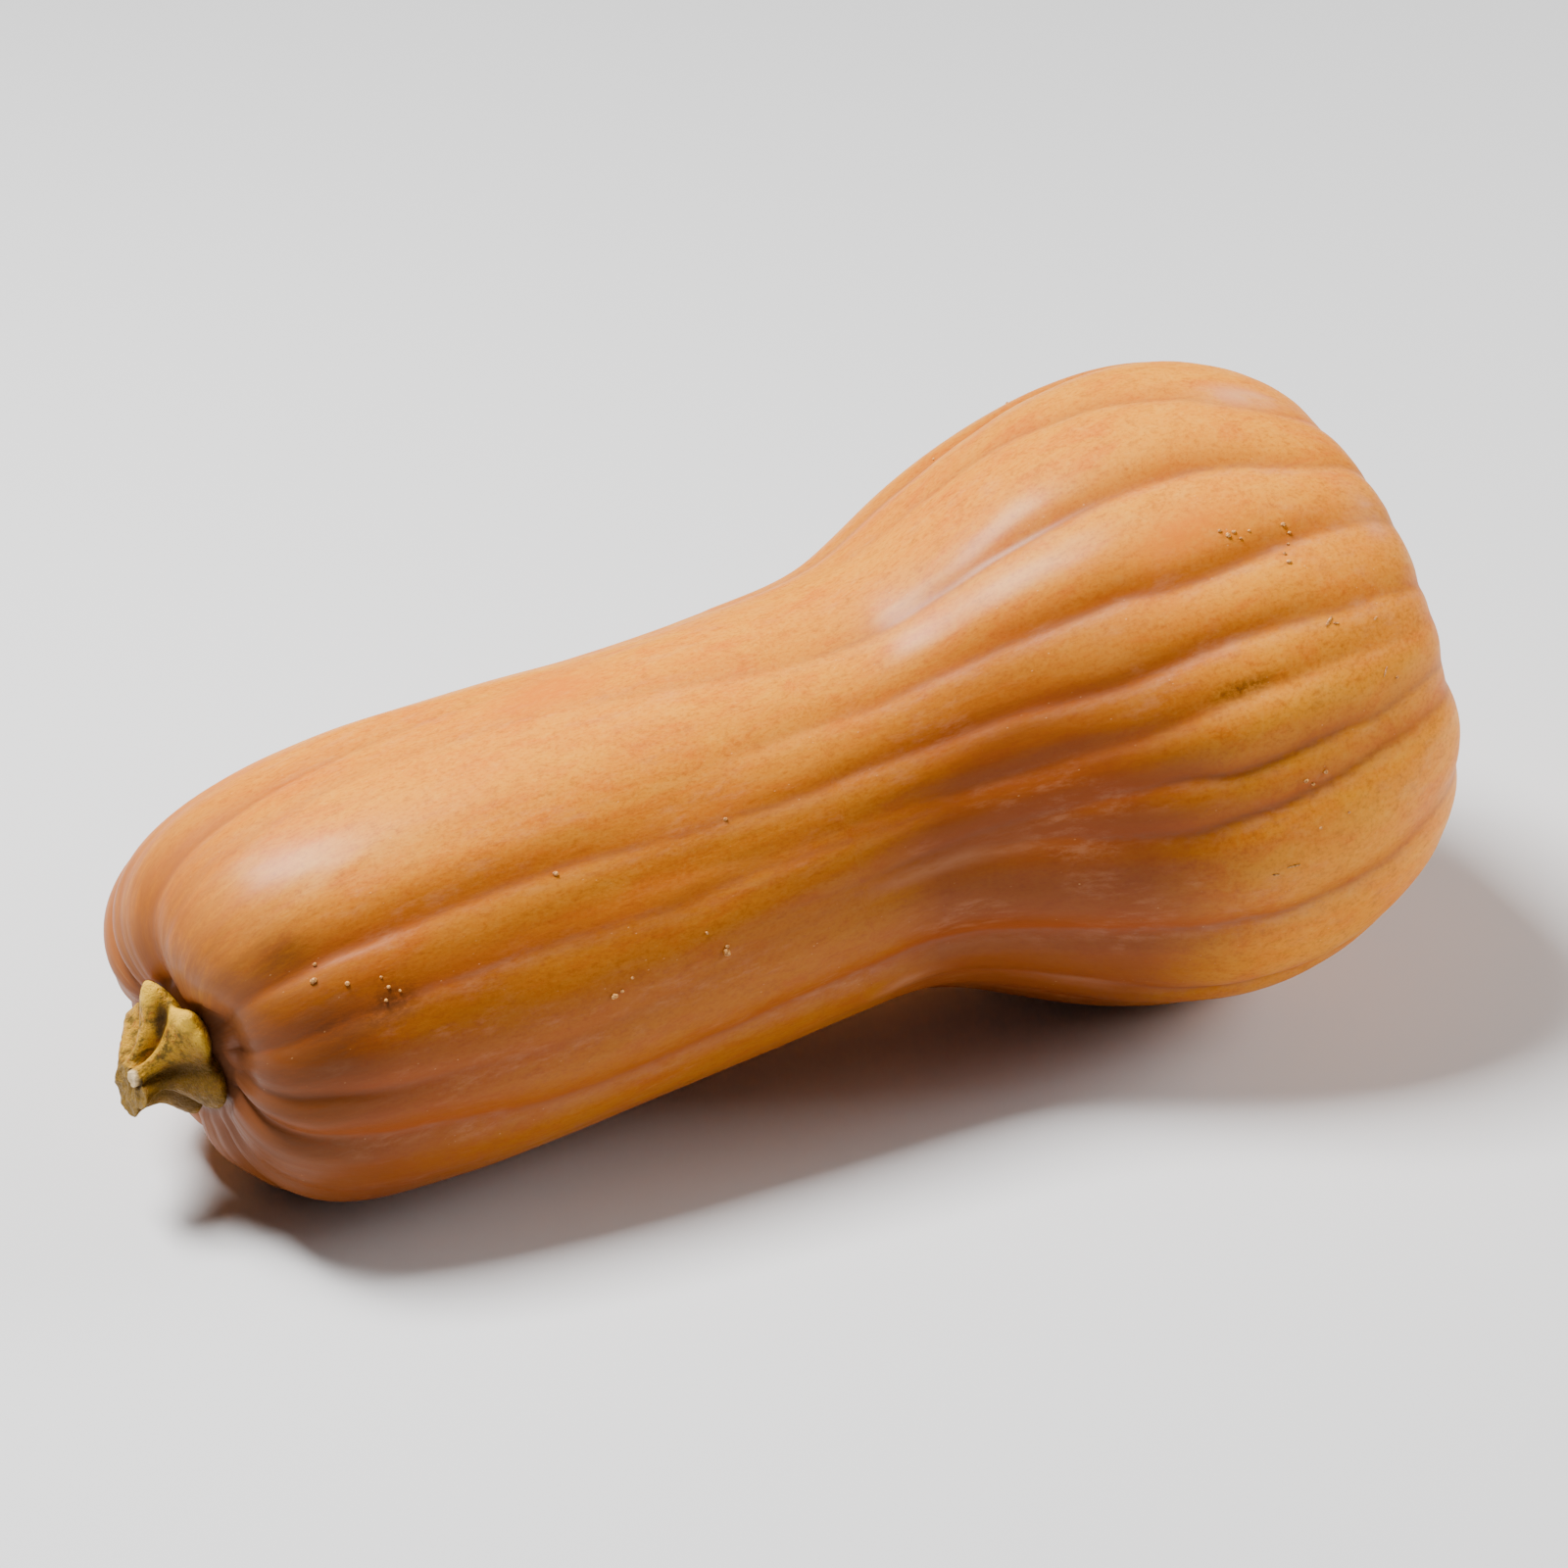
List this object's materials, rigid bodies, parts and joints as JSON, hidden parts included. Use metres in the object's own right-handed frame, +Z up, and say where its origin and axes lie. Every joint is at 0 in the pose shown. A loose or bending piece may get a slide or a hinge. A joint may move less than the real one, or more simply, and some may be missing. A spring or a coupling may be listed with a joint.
{
  "type": "butternut squash",
  "caption": "Whole ribbed butternut squash lying on its side, with a thick straight neck, a rounded bulb end and a short corky cut stem.",
  "frame": {"origin": "centre of the bottom of the object's box, on the surface it lies on", "axes": "+X runs along the squash from the stem end to the blossom end, +Z is up, and -Y is the front"},
  "size_m": [0.2612, 0.1236, 0.1216],
  "materials": {
    "fruit": "satin",
    "stem": "matte"
  },
  "bodies": {
    "root": {"fruit": "fruit", "stem": "stem"}
  },
  "joints": []
}
